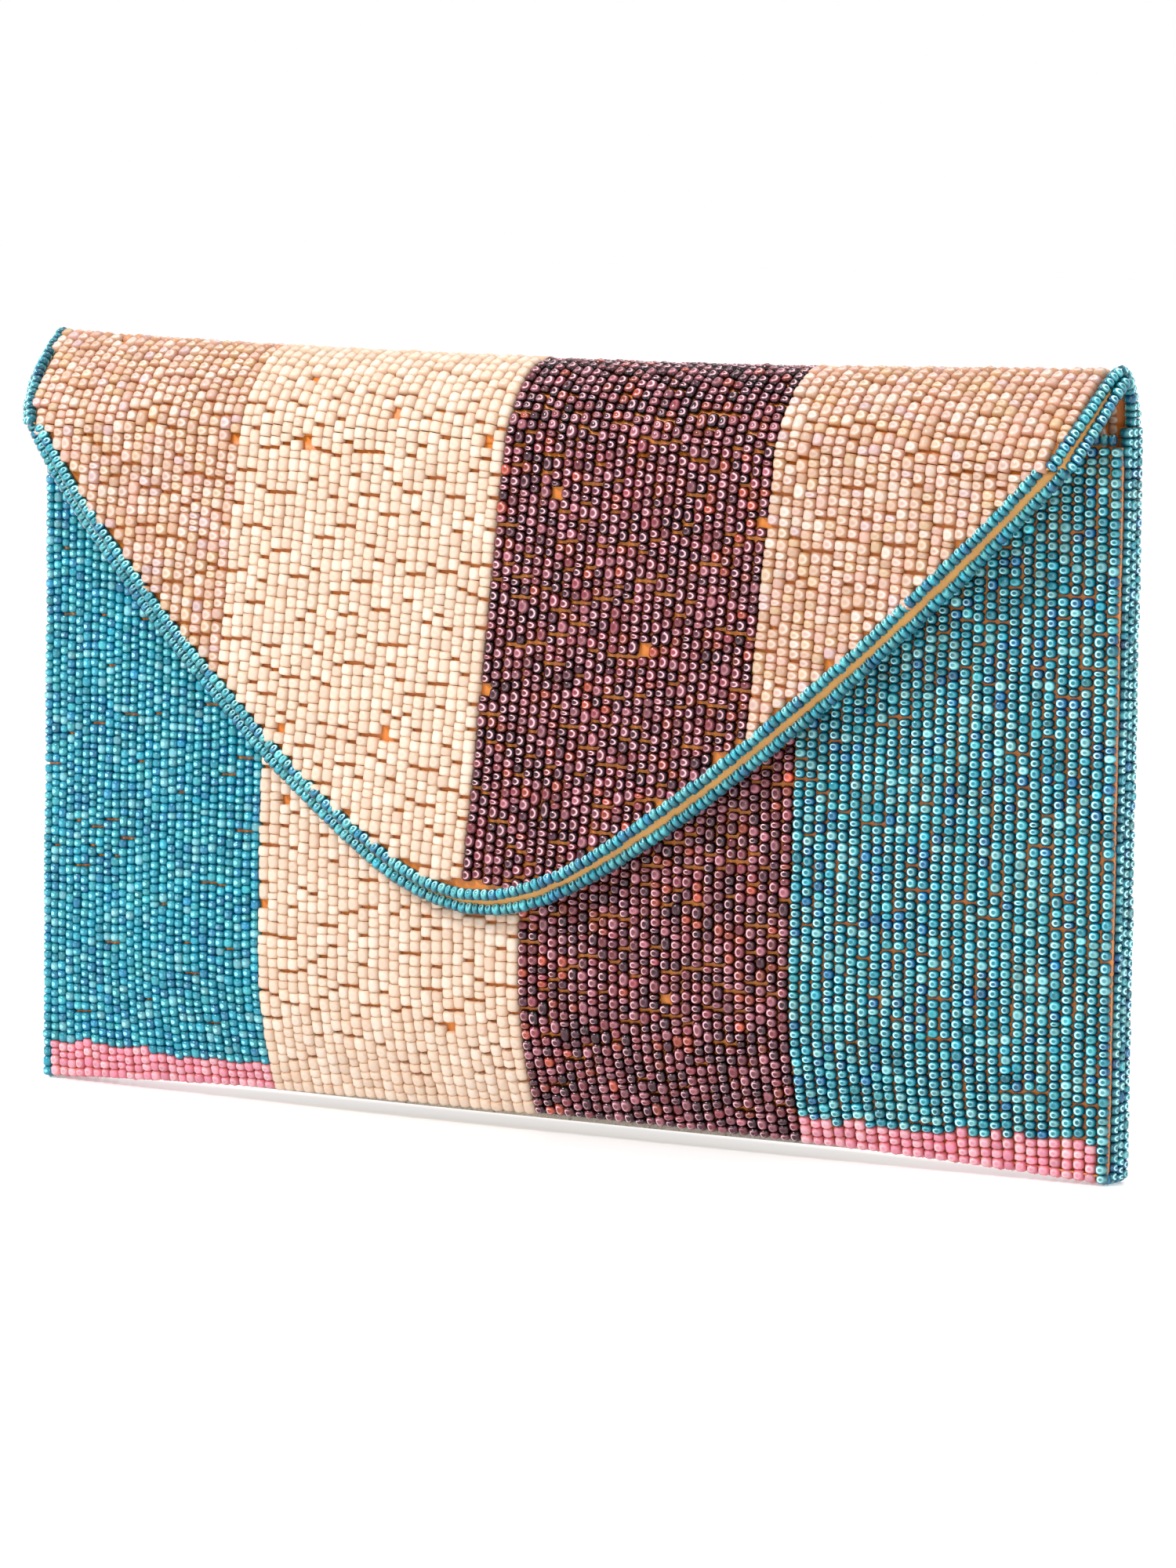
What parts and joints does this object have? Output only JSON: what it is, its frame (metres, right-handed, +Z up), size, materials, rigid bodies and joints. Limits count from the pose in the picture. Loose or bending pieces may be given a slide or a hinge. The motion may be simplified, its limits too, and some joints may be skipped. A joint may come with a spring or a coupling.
{
  "type": "beaded envelope clutch purse",
  "caption": "Hand-beaded envelope clutch purse with curved panels, satin lining, slip pocket and a magnetic V-shaped flap on a soft fold.",
  "frame": {"origin": "middle of the purse's bounding box in X and Y, on the surface it stands on", "axes": "+X across the purse to the right as seen from the front, -Y towards the front and the flap, +Z up"},
  "size_m": [0.265, 0.0383, 0.1649],
  "materials": {
    "turquoise_beads": "gloss",
    "peach_beads": "gloss",
    "gold_satin": "satin",
    "wadding": "matte",
    "board": "matte",
    "magnet": "satin"
  },
  "bodies": {
    "purse": {"beaded_front_panel": "turquoise_beads", "front_wadding": "wadding", "front_board": "board", "front_magnet": "magnet", "front_lining": "gold_satin", "mouth_satin_binding": "gold_satin", "mouth_hem_strand": "turquoise_beads", "beaded_back_panel": "peach_beads", "back_wadding": "wadding", "back_board": "board", "back_lining": "gold_satin", "slip_pocket": "gold_satin", "pocket_binding": "gold_satin", "beaded_base": "peach_beads", "base_board": "board", "base_lining": "gold_satin", "left_side_seam": "gold_satin", "right_side_seam": "gold_satin", "left_edge_strands": "turquoise_beads", "right_edge_strands": "turquoise_beads"},
    "flap_fold": {"beaded_fold_strip": "peach_beads", "fold_lining": "gold_satin", "left_fold_strand": "turquoise_beads", "right_fold_strand": "turquoise_beads"},
    "flap": {"beaded_flap_panel": "peach_beads", "flap_board": "board", "flap_magnet": "magnet", "flap_lining": "gold_satin", "flap_face_strand": "turquoise_beads", "flap_edge_satin": "gold_satin", "flap_back_strand": "turquoise_beads"}
  },
  "joints": [
    {"name": "rear_fold", "type": "hinge", "parent": "purse", "child": "flap_fold", "pos_m": [0, 0.01329, 0.1618], "axis": [-1, 0, 0], "range_deg": [0, 90]},
    {"name": "front_fold", "type": "hinge", "parent": "flap_fold", "child": "flap", "pos_m": [0, -0.00911, 0.1604], "axis": [-1, 0, 0], "range_deg": [0, 90]}
  ],
  "couplings": [
    {"joint": "front_fold", "follows": "rear_fold", "ratio": 1}
  ]
}
